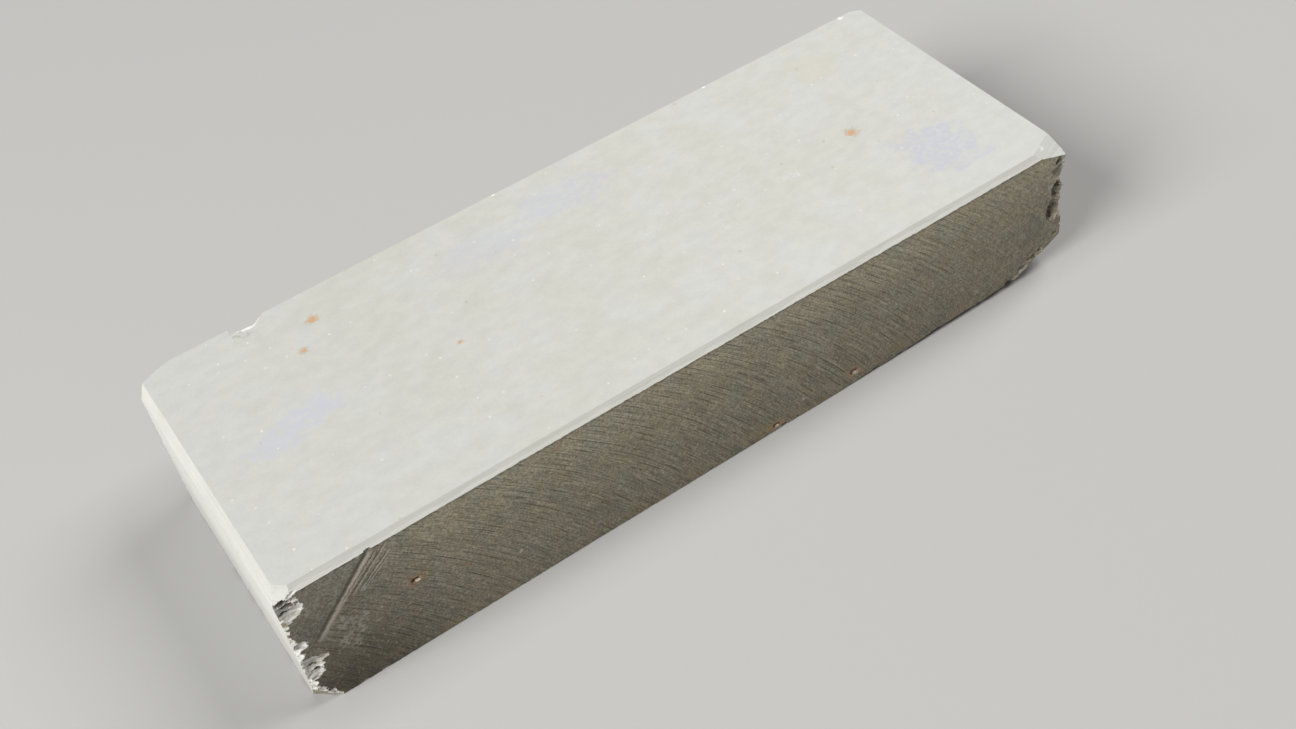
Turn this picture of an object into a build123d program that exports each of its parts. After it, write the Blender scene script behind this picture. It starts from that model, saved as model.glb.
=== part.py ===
"""A natural sharpening stone: one sawn block of fine sedimentary rock, standing on its base.

The stone lies with its length along X, its width along Y and its working face up. The origin is on
the base, under the middle of the box that holds the whole stone. The near long side is at -Y.
"""

from build123d import *
import os

os.makedirs("parts", exist_ok=True)

# Driving dimensions, in millimetres
length = 209.6  # over the proudest point of each end
width = 75.0
height = 39.3

# The ends, in long section
left_chamfer_width = 1.8  # the eased edge over the left end, seen from above
left_chamfer_drop = 3.4
right_top_setback = 3.0  # the right end leans in towards the working face
right_shoulder = (1.4, 3.6)  # where it starts to lean more: in from the end, and below the working face
right_belly_height = 11.0  # where that end stands furthest out
right_foot_setback = 0.6

# The far side, in plan: it runs in a little to the left, and both its corners are worn away
far_side_taper = 0.9
far_left_corner = 9.6  # along the far side
far_left_shoulder = (5.4, 2.0)  # a point halfway round, from the left end and from the far side
far_left_return = 4.5  # down the left end
far_right_corner = (6.1, 2.8)  # along the far side, and down the right end

# The long edge between the working face and the near side
near_chamfer_width = 1.4
near_chamfer_drop = 1.6

# The near edge of the base is worn away towards the right
wear_start = 40.0
wear_width = 3.9  # at the right end
wear_height = 2.6

# How far each knocked-off near corner reaches along the length, the width and the height
top_left_break = (5.9, 4.9, 4.3)
top_right_break = (14.0, 6.6, 4.7)
base_left_break = (4.5, 3.8, 7.5)
base_right_break = (17.8, 17.5, 9.3)

# Flakes out of three edges: how far the middle of each lies along from its end, outside its side and
# below the working face, and its radius
far_edge_flake = (26.8, 1.8, 1.3, 6.0)
near_left_flakes = [(2.0, 2.1, 6.5, 4.1), (1.2, 1.1, 17.7, 1.9), (1.6, 1.9, 24.7, 3.6)]
near_right_flakes = [(1.2, 1.1, 10.7, 2.2), (2.0, 1.1, 18.5, 4.2)]

# The planes that the block is sawn to
left, right = -length / 2, length / 2
near, far = -width / 2, width / 2
base, top = 0.0, height
block_middle = Vector(0, 0, height / 2)


def facet(a, b, c):
    """Breaks the block off along the plane through three points, on the side away from its middle."""
    a, b, c = Vector(*a), Vector(*b), Vector(*c)
    outward = (b - a).cross(c - a)
    if outward.dot(a - block_middle) < 0:
        outward = -outward
    split(bisect_by=Plane(origin=a, x_dir=b - a, z_dir=outward), keep=Keep.BOTTOM)


def knock_off_corner(x, y, z, reach):
    """Breaks a corner of the block off at a slope that reaches so far along each of its edges."""
    along, across, up = reach
    facet(
        (x - along if x > 0 else x + along, y, z),
        (x, y - across if y > 0 else y + across, z),
        (x, y, z - up if z > base else z + up),
    )


def flake(x, y, below, radius):
    """Scoops out a shell-shaped flake, the way fine-grained stone breaks at an edge."""
    with Locations((x, y, top - below)):
        Sphere(radius, mode=Mode.SUBTRACT)


# The whole stone is one piece
with BuildPart() as stone_block:
    # Plan, from the near left corner round to the far left one
    with BuildSketch():
        with BuildLine():
            Polyline(
                (left, near),
                (right, near),
                (right, far - far_right_corner[1]),
                (right - far_right_corner[0], far),
                (left + far_left_corner, far - far_side_taper),
                (left + far_left_shoulder[0], far - far_left_shoulder[1]),
                (left, far - far_left_return),
                close=True,
            )
        make_face()
    extrude(amount=height)

    # Long section, from the foot of the left end round to the foot of the right end
    with BuildSketch(Plane.XZ):
        with BuildLine():
            Polyline(
                (left, base),
                (left, top - left_chamfer_drop),
                (left + left_chamfer_width, top),
                (right - right_top_setback, top),
                (right - right_shoulder[0], top - right_shoulder[1]),
                (right, right_belly_height),
                (right - right_foot_setback, base),
                close=True,
            )
        make_face()
    extrude(amount=width, both=True, mode=Mode.INTERSECT)

    # The eased long edge beside the working face, and the worn edge under it
    facet(
        (left, near + near_chamfer_width, top),
        (right, near + near_chamfer_width, top),
        (left, near, top - near_chamfer_drop),
    )
    facet((wear_start, near, base), (right, near + wear_width, base), (right, near, wear_height))

    knock_off_corner(left, near, top, top_left_break)
    knock_off_corner(right, near, top, top_right_break)
    knock_off_corner(left, near, base, base_left_break)
    knock_off_corner(right, near, base, base_right_break)

    along, outside, below, radius = far_edge_flake
    flake(left + along, far + outside, below, radius)
    for along, outside, below, radius in near_left_flakes:
        flake(left + along, near - outside, below, radius)
    for along, outside, below, radius in near_right_flakes:
        flake(right - along, near - outside, below, radius)
stone_block.part.label = "stone_block"
export_step(stone_block.part, "parts/stone_block.step")
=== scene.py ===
import itertools
import math
from collections import namedtuple

import bmesh
import bpy
import numpy as np
from mathutils import Matrix, Vector


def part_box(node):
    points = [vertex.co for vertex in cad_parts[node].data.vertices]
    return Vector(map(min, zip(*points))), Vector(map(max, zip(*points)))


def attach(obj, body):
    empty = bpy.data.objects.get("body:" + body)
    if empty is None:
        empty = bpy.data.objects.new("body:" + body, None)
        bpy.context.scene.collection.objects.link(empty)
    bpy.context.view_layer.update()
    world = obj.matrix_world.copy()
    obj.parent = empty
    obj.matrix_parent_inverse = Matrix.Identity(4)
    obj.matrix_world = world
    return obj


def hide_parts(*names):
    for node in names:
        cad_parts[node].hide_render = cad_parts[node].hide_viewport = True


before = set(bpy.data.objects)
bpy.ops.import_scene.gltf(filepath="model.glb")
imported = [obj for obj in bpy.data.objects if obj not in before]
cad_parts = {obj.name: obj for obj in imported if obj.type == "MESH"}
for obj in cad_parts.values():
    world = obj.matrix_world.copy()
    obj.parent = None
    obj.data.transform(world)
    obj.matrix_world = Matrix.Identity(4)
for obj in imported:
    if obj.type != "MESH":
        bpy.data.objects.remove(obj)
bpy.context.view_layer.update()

# A natural sharpening stone, as one mesh: the flat faces of the CAD solid, with saw marks, flakes,
# nicks and a scratch cut into them, and a material for each way a face was finished. The shape is worked
# out in millimetres in the CAD frame, and turned into metres when the mesh is made.

MM = 0.001
LOW, HIGH = (np.array(corner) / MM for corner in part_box("stone_block"))
LEFT, NEAR, BASE = LOW
RIGHT, FAR, TOP = HIGH
SEED = 7

# The grid that the surface is carved on
FINE = 0.27  # in a band beside the edges that are chipped
END_BAND = 7.0
NEAR_BAND = 5.0
FAR_BAND = 4.6
ALONG_STEP = 0.5  # between the bands
ACROSS_STEP = 1.3
HEIGHT_STEP = 0.33
BLOCK = 10.0  # the size that cells of the flat working face are joined to
SNAP = 0.25  # a point this near an edge of the shape moves onto it
WELD = 0.1  # points this near each other become one
CORE_INSET = 14.0  # how deep under the surface the carving aims
KEPT_DEPTH = 2.5  # no triangle is taken away this near the working face
KEPT_SHARE = 0.62  # of all triangles, before the flat cells are joined
SHARP_ANGLE = 32  # in degrees

# How each part of the surface was finished or broken
FINISHES = ("lapped", "chamfered", "sawn", "dressed", "broken", "chipped")

# The saw that cut the long sides: a round blade, fed along the stone
BLADE_RADIUS = 165.0
BLADE_CENTRE_HEIGHT = BASE - 87.0
SAW_FEED = 1.9  # between one pass of the blade's teeth and the next

# Scratches on the near side: places along the stone and heights of both ends, half width and depth
SCRATCHES = (
    ((LEFT + 4.6, 20.4), (LEFT + 20.9, 37.9), 0.70, 0.36),
    ((LEFT + 11.8, 26.8), (LEFT + 22.1, 36.4), 0.20, 0.08),
    ((LEFT + 14.3, 27.5), (LEFT + 24.6, 37.2), 0.28, 0.12),
    ((LEFT + 16.8, 28.2), (LEFT + 25.0, 35.0), 0.26, 0.11),
    ((LEFT + 17.5, 27.9), (LEFT + 24.3, 33.2), 0.20, 0.07),
)

# Rusty pits in the near side: place along the stone, height and size
PITS = ((LEFT + 27.9, 21.5, 1.25), (LEFT + 120.1, 1.9, 1.0), (LEFT + 143.4, 4.1, 1.25))

# Slots between layers at the near left edge, darkened with painted shade: place along the stone, height and
# half length
SLOTS = (
    (LEFT + 2.4, TOP - 3.7, 2.4),
    (LEFT + 3.1, TOP - 5.2, 2.0),
    (LEFT + 1.6, TOP - 6.6, 1.3),
    (LEFT + 1.8, TOP - 22.3, 1.0),
    (LEFT + 2.3, TOP - 25.9, 1.2),
    (LEFT + 2.6, TOP - 27.5, 1.1),
)

# Cavities at the near right edge, darkened with painted shade: centre and radii
CAVITIES = (
    ((RIGHT - 3.4, NEAR + 0.2, TOP - 5.2), (1.1, 1.0, 1.0)),
    ((RIGHT - 3.2, NEAR + 0.3, TOP - 14.0), (1.6, 1.8, 2.7)),
    ((RIGHT - 4.1, NEAR + 0.2, TOP - 20.2), (1.9, 2.2, 3.6)),
)


# Camera, lights and floor, with angles in degrees

VIEW_AZIMUTH = -28.33
VIEW_ELEVATION = 46.68
VIEW_ROLL = -8.37
VIEW_DISTANCE = 365.0
AIM = (-1.2, -9.7, 11.1)
LENS = 42.8
SENSOR_WIDTH = 36.0
DAYLIGHT = (1.0, 0.99, 0.97)
SKY = (0.97, 0.98, 1.0, 1.0)
SKY_STRENGTH = 0.12
FLOOR_REACH = 4.0  # in metres, from the middle to a side
FLOOR_COLOUR = (0.40, 0.40, 0.395, 1.0)


def add_camera():
    """The camera that looks down on the near long side from the left."""
    azimuth, elevation = math.radians(VIEW_AZIMUTH), math.radians(VIEW_ELEVATION)
    level = math.cos(elevation)
    back = Vector((math.sin(azimuth) * level, -math.cos(azimuth) * level, math.sin(elevation)))
    turn = back.to_track_quat("Z", "Y").to_matrix() @ Matrix.Rotation(math.radians(VIEW_ROLL), 3, "Z")
    camera = bpy.data.objects.new("camera", bpy.data.cameras.new("camera"))
    camera.data.lens = LENS
    camera.data.sensor_width = SENSOR_WIDTH
    camera.data.clip_start = 0.01
    camera.matrix_world = Matrix.Translation((Vector(AIM) + back * VIEW_DISTANCE) * MM) @ turn.to_4x4()
    bpy.context.scene.collection.objects.link(camera)
    bpy.context.scene.camera = camera


def add_area_light(name, direction, distance, power):
    """A soft square light, a metre across and distance metres away, turned towards the stone."""
    light = bpy.data.lights.new(name, "AREA")
    light.size = 1.0
    light.energy = power
    light.color = DAYLIGHT
    lamp = bpy.data.objects.new(name, light)
    towards = Vector(direction).normalized()
    turn = towards.to_track_quat("Z", "Y").to_matrix().to_4x4()
    lamp.matrix_world = Matrix.Translation(towards * distance) @ turn
    bpy.context.scene.collection.objects.link(lamp)


def add_studio():
    """Key light from the left, a weaker one from the right, and a pale floor."""
    add_area_light("key", (-0.78, -0.12, 0.62), 2.2, 60.0)
    add_area_light("right", (0.6, -0.02, 0.8), 1.8, 25.0)
    world = bpy.data.worlds.new("studio")
    world.use_nodes = True
    background = world.node_tree.nodes["Background"]
    background.inputs["Color"].default_value = SKY
    background.inputs["Strength"].default_value = SKY_STRENGTH
    bpy.context.scene.world = world
    bpy.context.scene.view_settings.view_transform = "Standard"

    mesh = bpy.data.meshes.new("floor")
    corners = [(FLOOR_REACH * x, FLOOR_REACH * y, 0) for x, y in ((-1, -1), (1, -1), (1, 1), (-1, 1))]
    mesh.from_pydata(corners, [], [(0, 1, 2, 3)])
    floor = bpy.data.objects.new("floor", mesh)
    bpy.context.scene.collection.objects.link(floor)
    material = bpy.data.materials.new("floor")
    material.use_nodes = True
    shader = material.node_tree.nodes["Principled BSDF"]
    shader.inputs["Base Color"].default_value = FLOOR_COLOUR
    shader.inputs["Roughness"].default_value = 0.9
    mesh.materials.append(material)


# The shape

Face = namedtuple("Face", "normal distance finish")
Flake = namedtuple("Flake", "centre radii finish")


def grid_lines(low, high, low_band, high_band, middle_step):
    """Places from low to high, finely spaced in a band at each end."""
    starts = np.linspace(low, low + low_band, round(low_band / FINE), endpoint=False)
    length = high - low - low_band - high_band
    middle = np.linspace(low + low_band, high - high_band, round(length / middle_step) + 1)
    ends = np.linspace(high, high - high_band, round(high_band / FINE), endpoint=False)
    return np.concatenate([starts, middle, np.flip(ends)])


def box_surface(lines):
    """Points and quads of the surface of a box cut by grid lines along x, y and z."""
    counts = [len(places) for places in lines]
    quads = []
    for axis in range(3):
        across, up = (axis + 1) % 3, (axis + 2) % 3
        for end in (0, counts[axis] - 1):
            cells = np.indices((counts[across], counts[up]))
            place = [None, None, None]
            place[axis] = np.full(cells[0].shape, end)
            place[across], place[up] = cells
            index = np.ravel_multi_index(place, counts)
            corners = [index[:-1, :-1], index[1:, :-1], index[1:, 1:], index[:-1, 1:]]
            if end == 0:
                corners.reverse()
            quads.append(np.stack(corners, axis=-1).reshape(-1, 4))
    used, quads = np.unique(np.concatenate(quads), return_inverse=True)
    places = np.unravel_index(used, counts)
    points = np.column_stack([line[place] for line, place in zip(lines, places)])
    return points, quads.reshape(-1, 4)


def noise(points, pitch, seed):
    """Smooth random values from -1 to 1 whose lumps are about pitch across, along each axis."""
    scaled = (points - points.min(axis=0)) / pitch
    cell = np.floor(scaled).astype(int)
    part = scaled - cell
    part = part * part * (3 - 2 * part)
    lattice = np.random.default_rng(SEED + seed).uniform(-1, 1, cell.max(axis=0) + 2)
    value = np.zeros(len(points))
    for corner in itertools.product((0, 1), repeat=3):
        weight = np.prod(np.where(corner, part, 1 - part), axis=1)
        value += weight * lattice[tuple((cell + corner).T)]
    return value


def layered_noise(points, pitch, seed, layers):
    """Noise with finer and finer detail, each layer half as large and half as strong."""
    pitch = np.asarray(pitch, dtype=float)
    return sum(noise(points, pitch / 2**k, seed + k) / 2**k for k in range(layers))


def saw_coordinates(points):
    """Distance across the blade's arcs, and distance along them, for points on a long side."""
    above = points[:, 2] - BLADE_CENTRE_HEIGHT
    across = points[:, 0] - np.sqrt(BLADE_RADIUS**2 - above**2)
    along = BLADE_RADIUS * np.arcsin(above / BLADE_RADIUS)
    return np.column_stack([across, along, points[:, 1]])


def scratch_depth(points):
    """The widest scratch, as a groove in the near side."""
    start, end, half_width, depth = SCRATCHES[0]
    run = np.subtract(end, start)
    length = np.hypot(*run)
    run = run / length
    offset = points[:, [0, 2]] - start
    along = offset @ run
    across = offset @ (run[1], -run[0])
    profile = np.clip(1 - np.abs(across) / half_width, 0, 1)
    fade = np.clip(along / length, 0.2, 1) * (along > 0) * (along < length + 1)
    return depth * profile * fade * (points[:, 1] < NEAR + 1)


def sawn_depth(points):
    """Arcs that the saw's teeth left, fading out at the left end, with grain, a swell and the scratch."""
    place = saw_coordinates(points)
    ridges = noise(place, (0.85, 26.0, 30.0), 10)
    chatter = noise(place, (0.6, 5.0, 30.0), 11)
    swell = noise(points, (24.0, 24.0, 14.0), 12)
    grain = noise(points, (0.6, 0.6, 0.6), 13)
    sawn = np.clip((points[:, 0] - LEFT - 8) / 12, 0.15, 1)
    marks = 0.024 * (2 + ridges + chatter) * sawn + 0.03 * (1 + grain)
    return marks + 0.04 * (1 + swell) + scratch_depth(points)


def dressed_depth(points):
    """Faint ribs along the bedding, which lies level."""
    return 0.025 * (1 + noise(points, (14.0, 14.0, 0.7), 20))


def broken_depth(points):
    """An uneven break with steps along the bedding, which dies out at the working face."""
    steps = np.tanh(2.5 * noise(points, (5.0, 5.0, 1.1), 30))
    lumps = layered_noise(points, (9.0, 9.0, 6.0), 35, 4)
    depth = 0.13 * (1 + steps) + 0.17 * np.clip(1.2 + lumps, 0, None)
    return depth * np.clip((TOP - points[:, 2]) / 9, 0, 1)


def flat_depth(points):
    """A face without marks."""
    return np.zeros(len(points))


DEPTHS = {
    "lapped": flat_depth,
    "chamfered": flat_depth,
    "sawn": sawn_depth,
    "dressed": dressed_depth,
    "broken": broken_depth,
}


def finish_of(normal):
    """Which finish the flat face with this outward normal has."""
    x, y, z = normal
    if z > 0.99:
        return "lapped"
    if z > 0.3 and abs(x) < 0.01:
        return "chamfered"
    if abs(y) > 0.99 or z < -0.99:
        return "sawn"
    if z > 0.3 or x < -0.9 or (y > 0.8 and abs(z) < 0.05):
        return "dressed"
    return "broken"


def hull_faces(node, smallest_area=2.0):
    """Each flat face of a CAD node's convex hull, with its distance from the origin in mm.

    Sorting and rounding make them the same in each run.
    """
    shape = bmesh.new()
    shape.from_mesh(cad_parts[node].data)
    hull = bmesh.ops.convex_hull(shape, input=shape.verts)
    triangles = {item for item in hull["geom"] if isinstance(item, bmesh.types.BMFace)}
    planes = {}
    for face in sorted(triangles, key=lambda triangle: tuple(triangle.calc_center_median())):
        distance = face.normal.dot(face.verts[0].co) / MM
        key = (*(round(value, 2) for value in face.normal), round(distance, 1))
        area, _, _ = planes.get(key, (0.0, None, None))
        planes[key] = (area + face.calc_area() / MM**2, np.round(face.normal, 5), round(distance, 3))
    shape.free()
    large = [plane for _, plane in sorted(planes.items()) if plane[0] > smallest_area]
    return [Face(normal, distance, finish_of(normal)) for _, normal, distance in large]


def carve_faces(points, core):
    """Moves each point towards the core, onto the first flat face in its way, and onto edges close by.

    Returns the points, each one's share of its way out, its distance from the edge, and its finish.
    """
    faces = hull_faces("stone_block")
    normals = np.array([face.normal for face in faces])
    out = points - core
    towards = normals @ out.T
    room = np.array([face.distance for face in faces])[:, None] - normals @ core.T
    shares = np.where(towards > 1e-6, room / np.maximum(towards, 1e-6), np.inf)
    plain = shares.min(axis=0)
    on_hull = core + out * plain[:, None]
    for row, face in enumerate(faces):
        close = shares[row] < plain + 0.2  # further out, a face can't come first
        shares[row, close] -= DEPTHS[face.finish](on_hull[close]) / towards[row, close]

    everywhere = np.arange(len(points))
    first, second = np.argsort(shares, axis=0)[:2]
    reach = shares[first, everywhere]
    carved = core + out * reach[:, None]
    gap = (shares[second, everywhere] - reach) * towards[second, everywhere]
    cosine = np.sum(normals[first] * normals[second], axis=1)
    lean = 1 - cosine**2
    to_edge = (normals[second] - normals[first] * cosine[:, None]) * (gap / lean)[:, None]
    from_edge = gap / np.sqrt(lean)
    snapped = from_edge < SNAP
    carved[snapped] += to_edge[snapped]
    codes = np.array([FINISHES.index(face.finish) for face in faces])
    return carved, reach, from_edge, codes[first]


def flakes():
    """Yields the flakes struck out of the stone's edges, with slots, cavities and pits."""
    fresh = (
        # The far edge of the working face
        ((LEFT + 27.2, FAR + 2.2, TOP - 1.3), (5.4, 5.3, 5.5)),
        # The upright edge at the near left, from the top down
        ((LEFT + 1.6, NEAR - 0.6, TOP - 6.0), (3.5, 1.6, 3.0)),
        ((LEFT + 1.3, NEAR - 0.5, TOP - 17.6), (1.8, 1.2, 1.3)),
        ((LEFT + 1.6, NEAR - 0.9, TOP - 25.6), (3.2, 2.1, 4.2)),
        ((LEFT + 3.8, NEAR - 0.5, TOP - 24.2), (2.2, 1.1, 0.9)),
        # The rubbed corner at the near right
        ((RIGHT - 7.2, NEAR + 2.2, TOP - 0.1), (1.1, 0.6, 0.6)),
    )
    weathered = (
        # The upright edge at the near right, from the top down
        ((RIGHT - 2.6, NEAR - 1.3, TOP - 8.6), (3.4, 2.2, 3.2)),
        ((RIGHT + 0.2, NEAR - 0.4, TOP - 11.5), (2.9, 2.6, 2.2)),
        ((RIGHT + 1.0, NEAR, TOP - 18.5), (2.6, 3.0, 7.0)),
    )
    slots = (((x, NEAR + 0.2, z), (half, 1.7, 0.30 + 0.06 * half)) for x, z, half in SLOTS)
    pits = (((x, NEAR - 0.1, z), (size, 0.7 * size, 0.6 * size)) for x, z, size in PITS)
    kinds = (("chipped", (*fresh, *slots)), ("broken", (*weathered, *CAVITIES)), ("sawn", pits))
    for finish, places in kinds:
        for centre, radii in places:
            yield Flake(np.array(centre), np.array(radii), finish)


def nicks():
    """Yields small nicks scattered along the stone's edges."""
    draw = np.random.default_rng(SEED)
    edges = (
        # Start, end, number of nicks, smallest and largest radius, finish
        ((LEFT, NEAR, 35.0), (LEFT, NEAR, 4.0), 60, 0.4, 1.2, "chipped"),
        ((LEFT, NEAR, 8.0), (LEFT + 5.0, NEAR, 0.0), 22, 0.4, 1.0, "chipped"),
        ((LEFT + 2.0, NEAR, 36.5), (LEFT + 6.0, NEAR, 38.6), 7, 0.25, 0.5, "chipped"),
        ((LEFT + 8.0, NEAR, 37.6), (RIGHT - 12.0, NEAR, 37.6), 40, 0.10, 0.22, "sawn"),
        ((RIGHT - 1.6, NEAR, 34.0), (RIGHT, NEAR, 12.0), 12, 0.4, 1.0, "broken"),
        ((RIGHT - 1.0, NEAR, 11.0), (RIGHT - 18.0, NEAR, 1.5), 28, 0.5, 1.3, "broken"),
        ((LEFT + 6.0, NEAR, 0.0), (40.0, NEAR, 0.0), 60, 0.3, 0.9, "broken"),
        ((40.0, NEAR, 0.0), (RIGHT - 18.0, NEAR, 1.8), 26, 0.3, 1.0, "broken"),
        ((LEFT + 30.0, FAR - 0.2, TOP), (RIGHT - 8.0, FAR - 0.9, TOP), 9, 0.15, 0.4, "chipped"),
        ((LEFT, FAR - 4.5, 36.0), (LEFT, FAR - 4.5, 1.0), 26, 0.4, 1.2, "chipped"),
        ((RIGHT - 0.8, FAR - 3.0, 34.0), (RIGHT, FAR - 3.0, 2.0), 26, 0.4, 1.2, "broken"),
        ((LEFT + 4.0, FAR, 0.0), (RIGHT - 4.0, FAR - 0.9, 0.0), 70, 0.3, 1.0, "broken"),
        ((LEFT, NEAR + 5.0, 0.0), (LEFT, FAR - 5.0, 0.0), 26, 0.3, 1.0, "broken"),
        ((RIGHT - 0.6, NEAR + 16.0, 0.0), (RIGHT - 0.6, FAR - 5.0, 0.0), 24, 0.4, 1.2, "broken"),
    )
    for start, end, count, smallest, largest, finish in edges:
        for _ in range(count):
            size = smallest + (largest - smallest) * draw.random() ** 2
            centre = np.array(start) + np.subtract(end, start) * draw.random()
            centre += draw.normal(0, 0.25 * size, 3)
            yield Flake(centre, size * draw.uniform((0.8, 0.7, 0.4), (1.6, 1.3, 0.9)), finish)


def strike(flakes_and_nicks, core, out, carved, reach):
    """Cuts flakes into the carved points. Returns the finish at each struck point, or -1."""
    struck = np.full(len(carved), -1)
    bedding = np.tanh(3 * noise(carved, (5.0, 5.0, 0.55), 40))
    rough = 0.12 * bedding + 0.12 * layered_noise(carved, (1.3, 1.3, 0.7), 41, 2)
    for flake in flakes_and_nicks:
        margin = flake.radii.max() + 1
        chosen = np.flatnonzero(np.all(np.abs(carved - flake.centre) < margin, axis=1))
        # A line from the core meets the flake at the shares where a * share**2 + 2 * b * share + c is 0
        start = (core[chosen] - flake.centre) / flake.radii
        step = out[chosen] / flake.radii
        a = np.sum(step * step, axis=1)
        b = np.sum(start * step, axis=1)
        c = np.sum(start * start, axis=1) - (1 + rough[chosen] * min(1, 2 / flake.radii.max())) ** 2
        under = b * b - a * c
        share = np.where((under > 0) & (b < 0), (-b - np.sqrt(np.maximum(under, 0))) / a, np.inf)
        cut = chosen[share < reach[chosen]]
        reach[cut] = share[share < reach[chosen]]
        carved[cut] = core[cut] + out[cut] * reach[cut, None]
        struck[cut] = FINISHES.index(flake.finish)
    return struck


def add_stone(materials):
    """The stone as one mesh, with a material for each finish."""
    lines = [
        grid_lines(LEFT, RIGHT, END_BAND, END_BAND, ALONG_STEP),
        grid_lines(NEAR, FAR, NEAR_BAND, FAR_BAND, ACROSS_STEP),
        grid_lines(BASE, TOP, 0.0, 0.0, HEIGHT_STEP),
    ]
    points, quads = box_surface(lines)
    core = np.clip(points, LOW + CORE_INSET, HIGH - CORE_INSET)
    carved, reach, from_edge, finish = carve_faces(points, core)
    struck = strike([*flakes(), *nicks()], core, points - core, carved, reach)

    # A face has the finish of its corner that is furthest from an edge, or of a flake that reaches it
    inmost = np.take_along_axis(quads, from_edge[quads].argmax(axis=1)[:, None], axis=1)[:, 0]
    flaked = struck[quads].max(axis=1)
    finish = np.where(flaked >= 0, flaked, finish[inmost])

    mesh = bpy.data.meshes.new("whetstone")
    mesh.from_pydata((carved * MM).tolist(), [], quads.tolist())
    for name in FINISHES:
        mesh.materials.append(materials[name])
    mesh.polygons.foreach_set("material_index", finish.astype(np.int32))
    mesh.polygons.foreach_set("use_smooth", np.ones(len(quads), dtype=bool))
    mesh.update()
    stone = bpy.data.objects.new("whetstone", mesh)
    bpy.context.scene.collection.objects.link(stone)
    weld(mesh)
    thin_out(stone)
    join_flat_cells(stone.data)
    sharpen(stone.data)
    return stone


def weld(mesh):
    """Makes one point of the points that were moved onto nearly the same place along an edge."""
    shape = bmesh.new()
    shape.from_mesh(mesh)
    bmesh.ops.remove_doubles(shape, verts=shape.verts, dist=WELD * MM)
    shape.to_mesh(mesh)
    shape.free()


def thin_out(stone):
    """Takes away the triangles that smooth places don't need, away from the working face."""
    mesh = stone.data
    heights = np.empty(3 * len(mesh.vertices), dtype=np.float32)
    mesh.vertices.foreach_get("co", heights)
    below = np.flatnonzero(heights[2::3] < (TOP - KEPT_DEPTH) * MM)
    stone.vertex_groups.new(name="below").add(below.tolist(), 1.0, "REPLACE")
    decimate = stone.modifiers.new("thin", "DECIMATE")
    decimate.vertex_group = "below"
    decimate.ratio = KEPT_SHARE
    bpy.context.view_layer.update()
    shape = stone.evaluated_get(bpy.context.evaluated_depsgraph_get())
    thinned = bpy.data.meshes.new_from_object(shape)
    stone.modifiers.clear()
    stone.vertex_groups.clear()
    stone.data = thinned


def join_flat_cells(mesh):
    """Joins the cells of the working face and its chamfer into blocks, up to the flakes in them."""
    shape = bmesh.new()
    shape.from_mesh(mesh)
    flat = [face for face in shape.faces if FINISHES[face.material_index] in ("lapped", "chamfered")]
    blocks = {}
    for face in flat:
        x, y, _ = face.calc_center_median() / (BLOCK * MM)
        blocks[face] = (math.floor(x), math.floor(y))
    edges = list(dict.fromkeys(edge for face in flat for edge in face.edges))
    corners = list(dict.fromkeys(corner for face in flat for corner in face.verts))
    for edge in edges:
        edge.seam = len({blocks.get(face) for face in edge.link_faces}) > 1
    bmesh.ops.dissolve_limit(
        shape, angle_limit=math.radians(0.3), verts=corners, edges=edges, delimit={"SEAM", "MATERIAL"}
    )
    for edge in shape.edges:
        edge.seam = False
    shape.to_mesh(mesh)
    shape.free()


def sharpen(mesh):
    """Keeps the shading crisp at steep edges and wherever one finish meets another."""
    mesh.set_sharp_from_angle(angle=math.radians(SHARP_ANGLE))
    sharp = np.zeros(len(mesh.edges), dtype=bool)
    mesh.edges.foreach_get("use_edge_sharp", sharp)
    edges = np.empty(len(mesh.loops), dtype=np.int32)
    mesh.loops.foreach_get("edge_index", edges)
    sizes = np.empty(len(mesh.polygons), dtype=np.int32)
    mesh.polygons.foreach_get("loop_total", sizes)
    finish = np.empty(len(mesh.polygons), dtype=np.int32)
    mesh.polygons.foreach_get("material_index", finish)
    finish = np.repeat(finish, sizes)
    lowest = np.full(len(mesh.edges), len(FINISHES))
    highest = np.full(len(mesh.edges), -1)
    np.minimum.at(lowest, edges, finish)
    np.maximum.at(highest, edges, finish)
    mesh.edges.foreach_set("use_edge_sharp", sharp | (lowest != highest))


# Materials. Colours are the stone's own, with painted light and shade in places, and lengths and places are
# in millimetres, as above.

GREY = (0.490, 0.500, 0.475)
OLIVE = (0.486, 0.482, 0.442)
PALE = (0.535, 0.542, 0.512)
WHITE = (0.680, 0.680, 0.650)
# Sawn brown and grey, darker than the stone's own: painted shade on the sides
SHADED_SAW_BROWN = (0.290, 0.254, 0.184)
SHADED_SAW_GREY = (0.272, 0.253, 0.192)
EARTH = (0.150, 0.112, 0.072)
# Painted shade in cavities and slots
HOLLOW_SHADE = (0.075, 0.058, 0.040)
OCHRE = (0.340, 0.245, 0.130)
RUST = (0.430, 0.225, 0.110)
BRIGHT_RUST = (0.520, 0.270, 0.125)
# Rust with painted shade, inside the pits
SHADED_RUST = (0.110, 0.042, 0.026)
LAVENDER = (0.440, 0.446, 0.505)
YELLOWED = (0.500, 0.465, 0.370)
CRUSHED = (0.270, 0.235, 0.165)
SLATE = (0.262, 0.258, 0.224)
GLINT = (0.460, 0.430, 0.370)
DAMP = (0.150, 0.150, 0.115)
SCUFFED = (0.430, 0.410, 0.355)
# Painted shade in the scratches, and a painted highlight on their right walls
SCRATCH_SHADE = (0.120, 0.092, 0.066)
SCRATCH_HIGHLIGHT = (0.500, 0.460, 0.395)
# Painted highlight on the pits' lower lips
PIT_HIGHLIGHT = (0.720, 0.620, 0.550)
BREAK_BROWN = (0.275, 0.240, 0.180)
BREAK_GREY = (0.375, 0.350, 0.290)
FLAKE_GREY = (0.475, 0.460, 0.410)
FLAKE_PALE = (0.680, 0.676, 0.640)
# Painted shade under the ledges in the flakes
LEDGE_SHADE = (0.200, 0.175, 0.135)

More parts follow.
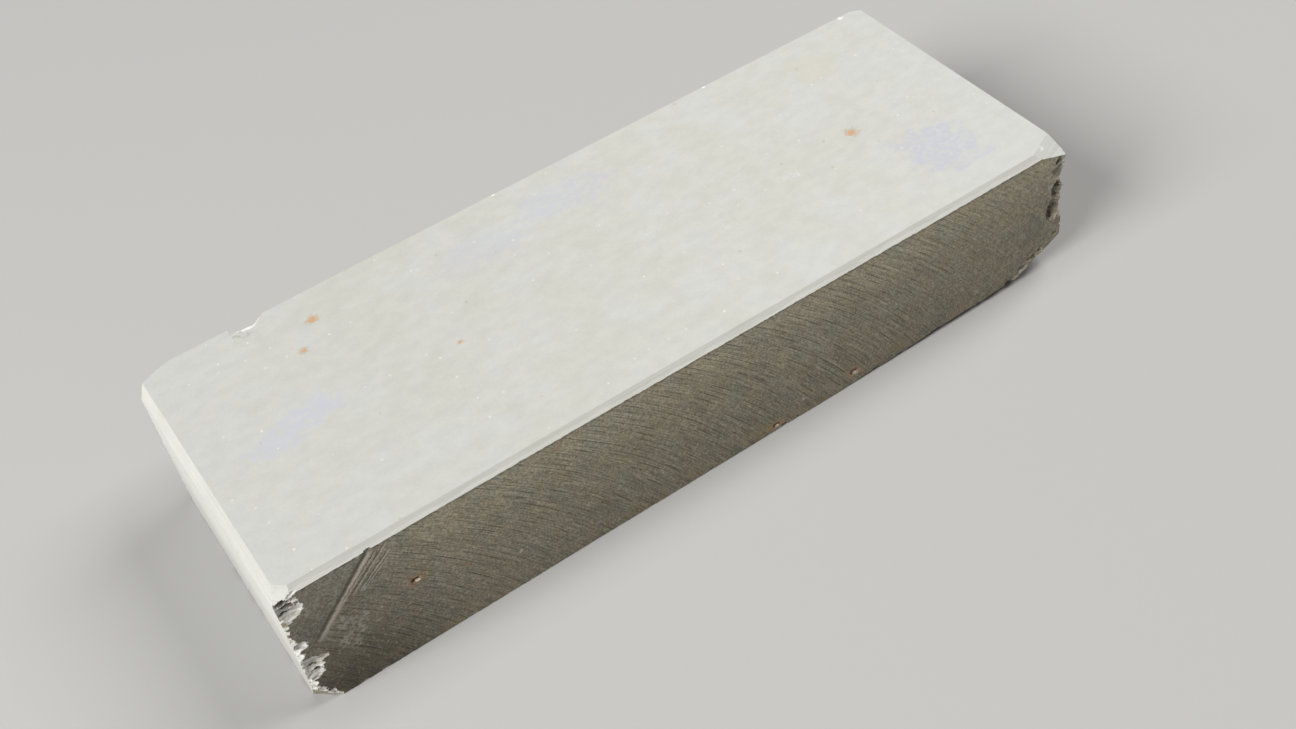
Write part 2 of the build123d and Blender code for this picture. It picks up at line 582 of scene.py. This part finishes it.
# Worn smudges of stamping ink on the working face: centre, half length and half width, strength
INK_SMUDGES = (
    ((LEFT + 17.5, -1.5), (7.0, 3.6), 0.9),
    ((LEFT + 27.5, 1.5), (8.5, 4.0), 1.0),
    ((-23.0, 22.0), (11.0, 6.0), 0.6),
    ((2.0, 25.0), (13.0, 6.0), 0.7),
    ((RIGHT - 25.2, -19.5), (9.5, 9.0), 1.0),
    ((RIGHT - 33.0, -11.0), (1.8, 1.6), 0.8),
    ((RIGHT - 17.0, -28.0), (1.8, 1.6), 0.8),
)

# Rust spots in the working face: centre and radius
RUST_SPOTS = (((-64.5, 27.0), 1.1), ((67.5, -1.6), 1.3), ((-70.3, 19.4), 0.75), ((-41.8, -1.1), 0.5))

# Pale scuffs on the working face: centres
SCUFFS = ((46.7, -4.6), (10.7, 1.4), (24.0, -9.0))


class Paint:
    """The nodes of one material. Its methods take sockets or plain values, and return a socket."""

    def __init__(self, name):
        self.material = bpy.data.materials.new(name)
        self.material.use_nodes = True
        self.tree = self.material.node_tree
        metres = self.tree.nodes.new("ShaderNodeTexCoord").outputs["Object"]
        self.place = self.scale(metres, 1 / MM)
        self.x, self.y, self.z = self.node("ShaderNodeSeparateXYZ", {0: self.place}).outputs

    def node(self, kind, inputs, **settings):
        node = self.tree.nodes.new(kind)
        for name, value in settings.items():
            setattr(node, name, value)
        for name, value in inputs.items():
            self.fill(node.inputs[name], value)
        return node

    def fill(self, socket, value):
        if isinstance(value, bpy.types.NodeSocket):
            self.tree.links.new(value, socket)
        elif socket.type == "RGBA":
            socket.default_value = (*value, 1.0)
        else:
            socket.default_value = value

    def math(self, operation, *values):
        return self.node("ShaderNodeMath", dict(enumerate(values)), operation=operation).outputs[0]

    def times(self, *values):
        product = values[0]
        for value in values[1:]:
            product = self.math("MULTIPLY", product, value)
        return product

    def total(self, *values):
        total = values[0]
        for value in values[1:]:
            total = self.math("ADD", total, value)
        return total

    def vector(self, operation, first, second):
        return self.node("ShaderNodeVectorMath", {0: first, 1: second}, operation=operation).outputs[0]

    def scale(self, vector, factor):
        return self.node("ShaderNodeVectorMath", {0: vector, "Scale": factor}, operation="SCALE").outputs[0]

    def point(self, x, y, z):
        return self.node("ShaderNodeCombineXYZ", {0: x, 1: y, 2: z}).outputs[0]

    def ramp(self, value, low, high, start=0.0, end=1.0):
        """A smooth step from start, where value is low, to end, where it is high."""
        inputs = {"Value": value, "From Min": low, "From Max": high, "To Min": start, "To Max": end}
        return self.node("ShaderNodeMapRange", inputs, interpolation_type="SMOOTHSTEP").outputs[0]

    def noise(self, pitch, detail=3.0, place=None):
        """Cloudy values about 0.5, whose lumps are about pitch across, along each axis."""
        pitch = pitch if isinstance(pitch, tuple) else (pitch,) * 3
        scaled = self.vector("DIVIDE", place or self.place, pitch)
        inputs = {"Vector": scaled, "Scale": 1.0, "Detail": detail}
        return self.node("ShaderNodeTexNoise", inputs).outputs[0]

    def grain(self, pitch, spread, detail=3.0, place=None):
        """A factor about 1 that varies by spread either way."""
        return self.ramp(self.noise(pitch, detail, place), 0.28, 0.72, 1 - spread, 1 + spread)

    def mix_values(self, share, first, second):
        """The first value where share is 0, and the second where it is 1."""
        return self.node("ShaderNodeMix", {0: share, 2: first, 3: second}, data_type="FLOAT").outputs[0]

    def mix(self, share, first, second):
        """The first colour where share is 0, and the second where it is 1."""
        return self.node("ShaderNodeMix", {0: share, 6: first, 7: second}, data_type="RGBA").outputs[2]

    def blot(self, centre, radii, ragged=0.0, pitch=1.0):
        """1 inside an ellipsoid, and 0 outside it, with a ragged rim."""
        share = self.vector("DIVIDE", self.vector("SUBTRACT", self.place, centre), radii)
        length = self.node("ShaderNodeVectorMath", {0: share}, operation="LENGTH").outputs["Value"]
        if ragged:
            length = self.total(length, self.ramp(self.noise(pitch), 0.25, 0.75, -ragged, ragged))
        return self.ramp(length, 1.1, 0.7)

    def specks(self, across, up, cell, radius, share):
        """1 in round specks of different sizes; that share of the cells has one."""
        place = self.point(self.math("DIVIDE", across, cell), self.math("DIVIDE", up, cell), 0.0)
        cells = self.node("ShaderNodeTexVoronoi", {"Vector": place, "Scale": 1.0}, voronoi_dimensions="2D")
        chance = self.node("ShaderNodeSeparateXYZ", {0: cells.outputs["Color"]}).outputs[0]
        size = self.ramp(chance, 0.0, share, 1.5, 0.4)
        distance = self.math("DIVIDE", cells.outputs["Distance"], size)
        disc = self.ramp(distance, 1.3 * radius / cell, 0.5 * radius / cell)
        return self.times(disc, self.math("LESS_THAN", chance, share))

    def finish(self, colour, roughness, height):
        """Gives the shader its colour, roughness and relief in mm, and returns the material."""
        shader = self.tree.nodes["Principled BSDF"]
        self.fill(shader.inputs["Base Color"], colour)
        self.fill(shader.inputs["Roughness"], roughness)
        shader.inputs["Specular IOR Level"].default_value = 0.35
        bump = self.node("ShaderNodeBump", {"Height": height, "Distance": MM})
        self.fill(shader.inputs["Normal"], bump.outputs[0])
        return self.material


def stone_colour(paint):
    """Grey stone with olive clouds in its middle and a fine grain, a little darker towards the left as
    painted shade.
    """
    middle = paint.ramp(paint.math("ABSOLUTE", paint.x), 100.0, 45.0, 0.25, 1.0)
    clouds = paint.times(paint.ramp(paint.noise(11.0, 6.0), 0.34, 0.66), middle)
    colour = paint.mix(clouds, GREY, OLIVE)
    # Painted shade: darker towards the left end of the working face
    wear_and_painted_shade = paint.ramp(paint.x, LEFT, 60.0, 0.935, 1.0)
    tone = paint.times(wear_and_painted_shade, paint.grain((5.0, 3.0, 5.0), 0.03, 5.0), paint.grain(0.6, 0.02))
    return paint.scale(colour, tone)


def add_ink(paint, colour):
    """Faint lavender smudges where stamping ink has nearly worn away."""
    wear_and_painted_shade = paint.ramp(paint.noise((1.5, 1.1, 1.3), 5.0), 0.36, 0.58, 0.25, 1.0)
    for (x, y), (length, width), strength in INK_SMUDGES:
        smudge = paint.blot((x, y, TOP), (length, width, 20.0), 0.3, 3.0)
        colour = paint.mix(paint.times(smudge, wear_and_painted_shade, 0.85 * strength), colour, LAVENDER)
    return colour


def add_rust_spots(paint, colour):
    """Rust spots with a soft halo."""
    for (x, y), radius in RUST_SPOTS:
        halo = paint.blot((x, y, TOP), (1.8 * radius, 1.5 * radius, 5.0), 0.4)
        spot = paint.blot((x, y, TOP), (radius, 0.85 * radius, 5.0), 0.35, 0.5)
        colour = paint.mix(paint.times(halo, 0.3), colour, OCHRE)
        colour = paint.mix(paint.times(spot, 0.75), colour, BRIGHT_RUST)
    return colour


def add_far_chip(paint, colour):
    """A white rim round the far edge's fresh flake, a painted highlight, and crushed stone beside it."""
    # Painted highlight round the far flake
    lit_rim = paint.blot((LEFT + 27.4, FAR - 3.1, TOP), (2.1, 0.85, 9.0), 0.15)
    colour = paint.mix(lit_rim, colour, WHITE)
    crushed = paint.blot((LEFT + 24.9, FAR - 4.4, TOP), (2.4, 2.0, 9.0), 0.6, 1.5)
    crumbs = paint.times(crushed, paint.ramp(paint.noise(0.6, 4.0), 0.48, 0.60))
    return paint.mix(paint.times(crumbs, 0.5), colour, CRUSHED)


def lapped():
    """The working face: flat and worn smooth, with rust spots, mineral specks and traces of ink."""
    paint = Paint("lapped_stone")
    colour = add_ink(paint, stone_colour(paint))
    yellow = paint.blot((76.5, 25.5, TOP), (8.0, 6.0, 9.0), 0.4, 4.0)
    colour = paint.mix(paint.times(yellow, 0.35), colour, YELLOWED)
    for x, y in SCUFFS:
        scuff = paint.blot((x, y, TOP), (3.2, 1.6, 9.0), 0.5)
        scuff = paint.times(scuff, paint.ramp(paint.noise(0.7), 0.4, 0.6), 0.5)
        colour = paint.mix(scuff, colour, PALE)
    colour = add_far_chip(paint, add_rust_spots(paint, colour))
    crystals = paint.specks(paint.x, paint.y, 8.0, 0.22, 0.25)
    colour = paint.mix(paint.times(crystals, 0.6), colour, WHITE)
    small_crystals = paint.specks(paint.y, paint.x, 5.0, 0.26, 0.25)
    colour = paint.mix(paint.times(small_crystals, 0.3), colour, WHITE)
    rusty_specks = paint.specks(paint.y, paint.x, 9.0, 0.30, 0.15)
    colour = paint.mix(paint.times(rusty_specks, 0.3), colour, OCHRE)
    lapping = paint.noise((14.0, 0.35, 9.0))
    roughness = paint.ramp(paint.noise(6.0), 0.3, 0.7, 0.58, 0.70)
    height = paint.total(paint.times(paint.noise(0.4), 0.012), paint.times(lapping, 0.006))
    return paint.finish(colour, roughness, height)


def chamfered():
    """The narrow chamfer along the near edge, with lines along it, paler in its outer half."""
    paint = Paint("chamfered_stone")
    lines = paint.noise((14.0, 0.3, 0.3))
    wavy = paint.total(paint.z, paint.ramp(paint.noise(6.0), 0.3, 0.7, -0.25, 0.25))
    outer = paint.ramp(wavy, TOP - 1.1, TOP - 0.7, 1.13, 1.0)
    tone = paint.times(paint.ramp(lines, 0.3, 0.7, 0.96, 1.05), outer)
    colour = paint.scale(paint.mix(0.5, stone_colour(paint), OLIVE), tone)
    flecks = paint.ramp(paint.noise((3.0, 0.5, 0.5)), 0.60, 0.72)
    colour = paint.mix(paint.times(flecks, 0.35), colour, OLIVE)
    roughness = paint.ramp(paint.noise(3.0), 0.3, 0.7, 0.6, 0.75)
    return paint.finish(colour, roughness, paint.times(lines, 0.03))


def dressed():
    """The left end and the rubbed corners: pale, with fine level ribs of bedding, darker lower down, with
    ochre stains there.
    """
    paint = Paint("dressed_stone")
    ribs = paint.noise((16.0, 16.0, 0.45), 4.0)
    tone = paint.times(
        paint.ramp(ribs, 0.3, 0.7, 0.95, 1.05),
        paint.grain(0.5, 0.03),
        paint.grain(8.0, 0.03),
        paint.ramp(paint.z, 2.0, 28.0, 0.86, 1.07),
        paint.ramp(paint.z, 34.0, 36.5, 1.0, 0.94),
    )
    colour = paint.scale(PALE, tone)
    clouds = paint.ramp(paint.noise((7.0, 7.0, 3.0)), 0.56, 0.72)
    stain = paint.times(clouds, paint.ramp(paint.z, 30.0, 5.0))
    colour = paint.mix(paint.times(stain, 0.35), colour, OCHRE)
    height = paint.total(paint.times(ribs, 0.05), paint.times(paint.noise(0.5), 0.03))
    return paint.finish(colour, 0.8, height)


def saw_place(paint):
    """Distance across the blade's arcs, and distance along them, as in saw_coordinates."""
    above = paint.math("SUBTRACT", paint.z, BLADE_CENTRE_HEIGHT)
    chord = paint.math("SQRT", paint.math("SUBTRACT", BLADE_RADIUS**2, paint.times(above, above)))
    along = paint.times(paint.math("ARCSINE", paint.math("DIVIDE", above, BLADE_RADIUS)), BLADE_RADIUS)
    return paint.point(paint.math("SUBTRACT", paint.x, chord), along, paint.y)


def scratch_mask(paint, scratch, shift=0.0, widen=1.0):
    """1 along the middle of a scratch, down to 0 at its sides and ends."""
    (start_x, start_z), (end_x, end_z), half_width, _ = scratch
    length = math.hypot(end_x - start_x, end_z - start_z)
    run_x, run_z = (end_x - start_x) / length, (end_z - start_z) / length
    x, z = paint.math("SUBTRACT", paint.x, start_x), paint.math("SUBTRACT", paint.z, start_z)
    along = paint.total(paint.times(x, run_x), paint.times(z, run_z))
    across = paint.total(paint.times(x, run_z), paint.times(z, -run_x), -shift)
    across = paint.total(across, paint.ramp(paint.noise(1.2), 0.3, 0.7, -0.12, 0.12))
    line = paint.ramp(paint.math("ABSOLUTE", across), half_width * widen, 0.0)
    ends = paint.times(paint.ramp(along, -1.0, 3.0), paint.ramp(along, length + 0.5, length - 1.5))
    return paint.times(line, ends)


def add_scratches(paint, colour, height, here):
    """Grooves with painted shade along them and a painted highlight on the right wall. Returns the colour
    and the height.
    """
    for scratch in SCRATCHES:
        half_width, depth = scratch[2:]
        groove = paint.times(scratch_mask(paint, scratch, widen=1.2), here)
        lit_wall = paint.times(scratch_mask(paint, scratch, 1.4 * half_width, 1.3), here)
        # Painted highlight on the right wall, then painted shade in the groove
        colour = paint.mix(paint.times(lit_wall, 0.7), colour, SCRATCH_HIGHLIGHT)
        colour = paint.mix(paint.times(groove, 0.75), colour, SCRATCH_SHADE)
        height = paint.total(height, paint.times(groove, -depth))
    return colour, height


def add_pits(paint, colour, here):
    """Rusty pits: dark inside, rust with painted shade, with a painted highlight on the lower lip and a
    reddish halo.
    """
    for x, z, size in PITS:
        halo = paint.times(paint.blot((x, NEAR, z), (2.0 * size, 2.0, 1.5 * size), 0.5), here, 0.35)
        pit = paint.times(paint.blot((x, NEAR, z), (size, 2.0, 0.6 * size), 0.25, 0.5), here)
        lit_lip_centre = (x + 0.25 * size, NEAR, z - 0.45 * size)
        lit_lip = paint.times(paint.blot(lit_lip_centre, (0.55 * size, 2.0, 0.25 * size), 0.3, 0.5), here)
        colour = paint.mix(halo, colour, RUST)
        # Rust and painted shade inside the pit, painted highlight on its lower lip
        colour = paint.mix(paint.times(pit, 0.9), colour, SHADED_RUST)
        colour = paint.mix(paint.times(lit_lip, 0.9), colour, PIT_HIGHLIGHT)
    return colour


def saw_streaks(paint):
    """Soft streaks, and sparse dark lines, along the arcs that the saw left."""
    arcs = saw_place(paint)
    across = paint.node("ShaderNodeSeparateXYZ", {0: arcs}).outputs[0]
    streaks = paint.noise((0.36, 14.0, 40.0), 1.0, arcs)
    hairs = paint.noise((0.24, 4.0, 40.0), 1.0, arcs)
    swing = paint.times(paint.noise((9.0, 50.0, 40.0), 1.0, arcs), 10.0)
    ridges = paint.math("SINE", paint.total(paint.times(across, 2 * math.pi / SAW_FEED), swing))
    passes = paint.ramp(paint.noise((1.6, 7.0, 40.0), 1.0, arcs), 0.40, 0.60)
    lines = paint.times(paint.ramp(ridges, -0.74, -0.98), passes)
    tone = paint.times(
        paint.ramp(streaks, 0.28, 0.72, 0.79, 1.21),
        paint.ramp(hairs, 0.28, 0.72, 0.86, 1.14),
        paint.ramp(lines, 0.0, 1.0, 1.04, 0.65),
    )
    return streaks, lines, tone


def sawn_light(paint):
    """Painted light and shade on the sawn sides: darker lower down, at the left end and just under the
    upper edge, and lighter towards the top.
    """
    low = paint.ramp(paint.z, 0.0, 30.0, 0.78, 0.99)
    high = paint.ramp(paint.z, 24.0, 36.0, 1.0, 1.27)
    left_low = paint.ramp(paint.z, 2.0, 22.0, 0.42, 0.73)
    left = paint.ramp(paint.x, LEFT + 8.0, LEFT + 45.0, left_low, 1.0)
    shade = paint.ramp(paint.z, TOP - 2.4, TOP - 1.7, 1.0, 0.74)
    return paint.times(low, high, left, shade), left


def add_sawn_stains(paint, colour, grains, left, here):
    """Earth along the base, a damp patch, mineral and rust specks, and a scuff beside the scratches."""
    clouds = paint.ramp(paint.noise((7.0, 7.0, 4.0), 4.0), 0.48, 0.66)
    earthy = paint.times(paint.ramp(paint.z, 7.0, 0.0), clouds)
    colour = paint.mix(paint.times(earthy, left, 0.45), colour, OCHRE)
    damp = paint.blot((RIGHT - 9.8, NEAR, 16.0), (3.2, 5.0, 6.0), 0.5, 3.0)
    colour = paint.mix(paint.times(damp, 0.35), colour, DAMP)
    mineral = paint.specks(paint.x, paint.z, 11.0, 0.55, 0.35)
    colour = paint.mix(paint.times(mineral, paint.ramp(grains, 0.4, 0.6), 0.5), colour, PALE)
    rusty_specks = paint.specks(paint.z, paint.x, 17.0, 0.45, 0.25)
    colour = paint.mix(paint.times(rusty_specks, 0.5), colour, RUST)
    scuff = paint.times(paint.blot((LEFT + 13.0, NEAR, 18.5), (4.0, 5.0, 6.0), 0.6, 3.0), here)
    return paint.mix(paint.times(scuff, paint.ramp(grains, 0.42, 0.62), 0.55), colour, SCUFFED)


def sawn():
    """The long sides and the base: dull brown, darkened as painted shade, streaked along the arcs of the
    saw, granular in places.
    """
    paint = Paint("sawn_stone")
    here = paint.ramp(paint.y, NEAR + 3.0, NEAR + 2.0)
    streaks, lines, streak_tone = saw_streaks(paint)
    grains = paint.noise(0.9, 4.0)
    left_of_scratch = paint.total(paint.x, paint.times(paint.z, -0.93))
    slate = paint.times(paint.ramp(left_of_scratch, LEFT - 10.0, LEFT - 17.0, 0.0, 0.85), here)
    low_right = paint.total(paint.x, paint.times(paint.z, -0.8))
    granular = paint.total(slate, paint.ramp(low_right, 25.0, 85.0, 0.0, 0.7))
    grain_tone = paint.times(paint.ramp(grains, 0.3, 0.7, 0.80, 1.20), paint.grain(3.0, 0.06, 4.0))

    # The sawn colours carry painted shade
    colour = paint.mix(paint.ramp(paint.noise(5.0, 5.0), 0.38, 0.62), SHADED_SAW_BROWN, SHADED_SAW_GREY)
    colour = paint.mix(paint.times(slate, 0.5), colour, SLATE)
    tone = paint.mix_values(granular, streak_tone, grain_tone)
    tone = paint.times(tone, paint.grain(4.0, 0.05), paint.grain(0.5, 0.28))
    light, left = sawn_light(paint)
    # Painted light and shade scale the colour
    colour = paint.scale(colour, paint.times(tone, light))
    glints = paint.times(paint.ramp(paint.noise(0.8, 2.0), 0.62, 0.72), left)
    colour = paint.mix(paint.times(glints, 0.5), colour, GLINT)
    colour = add_sawn_stains(paint, colour, grains, left, here)

    height = paint.total(paint.times(streaks, 0.03), paint.times(lines, -0.05), paint.times(grains, 0.14))
    colour, height = add_scratches(paint, colour, height, here)
    colour = add_pits(paint, colour, here)
    return paint.finish(colour, 0.88, height)


def broken():
    """Old breaks, weathered brown: the right end, the base's corners and edges, and cavities darkened with
    painted shade.
    """
    paint = Paint("broken_stone")
    beds = paint.noise((6.0, 6.0, 1.1), 4.0)
    colour = paint.mix(paint.ramp(beds, 0.35, 0.65), BREAK_BROWN, BREAK_GREY)
    dirt = paint.ramp(paint.noise((2.2, 2.2, 1.4), 4.0), 0.50, 0.68)
    colour = paint.mix(paint.times(dirt, 0.55), colour, EARTH)
    rusty = paint.ramp(paint.noise(8.0), 0.56, 0.70)
    colour = paint.mix(paint.times(rusty, 0.4), colour, OCHRE)
    for centre, radii in CAVITIES:
        # Painted shade in each cavity
        hollow_shade = paint.blot(centre, radii, 0.3)
        colour = paint.mix(paint.times(hollow_shade, 0.8), colour, HOLLOW_SHADE)
    colour = paint.scale(colour, paint.grain(0.5, 0.08))
    height = paint.total(paint.times(beds, 0.25), paint.times(paint.noise(0.8, 4.0), 0.15))
    return paint.finish(colour, 0.9, height)


def chipped():
    """Fresh flakes: pale, whiter near the top edge as a painted highlight, with thin dark lines of painted
    shade under ledges where layers of bedding end.
    """
    paint = Paint("chipped_stone")
    beds = paint.noise((3.5, 3.5, 0.5), 3.0)
    colour = paint.mix(paint.ramp(beds, 0.36, 0.62), FLAKE_GREY, FLAKE_PALE)
    lines = paint.ramp(paint.noise((4.0, 4.0, 0.42), 2.0), 0.55, 0.66)
    deep = paint.ramp(paint.z, TOP - 0.5, TOP - 2.5)
    # Painted highlight: whiter towards the top edge
    colour = paint.mix(paint.ramp(paint.z, TOP - 2.5, TOP - 0.8), colour, WHITE)
    # Painted shade in thin lines under the ledges of the bedding
    colour = paint.mix(paint.times(lines, deep, 0.45), colour, LEDGE_SHADE)
    for x, z, half in SLOTS:
        # Painted shade in each slot
        slot_shade = paint.blot((x, NEAR, z), (1.1 * half, 2.5, 0.36 + 0.06 * half), 0.35, 0.6)
        colour = paint.mix(paint.times(slot_shade, 0.85), colour, HOLLOW_SHADE)
    colour = paint.scale(colour, paint.grain(0.5, 0.06))
    height = paint.total(paint.times(beds, 0.14), paint.times(paint.noise(0.5), 0.06))
    return paint.finish(colour, 0.85, height)


add_camera()
add_studio()
makers = (lapped, chamfered, sawn, dressed, broken, chipped)
stone = add_stone({maker.__name__: maker() for maker in makers})
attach(stone, "root")
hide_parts("stone_block")
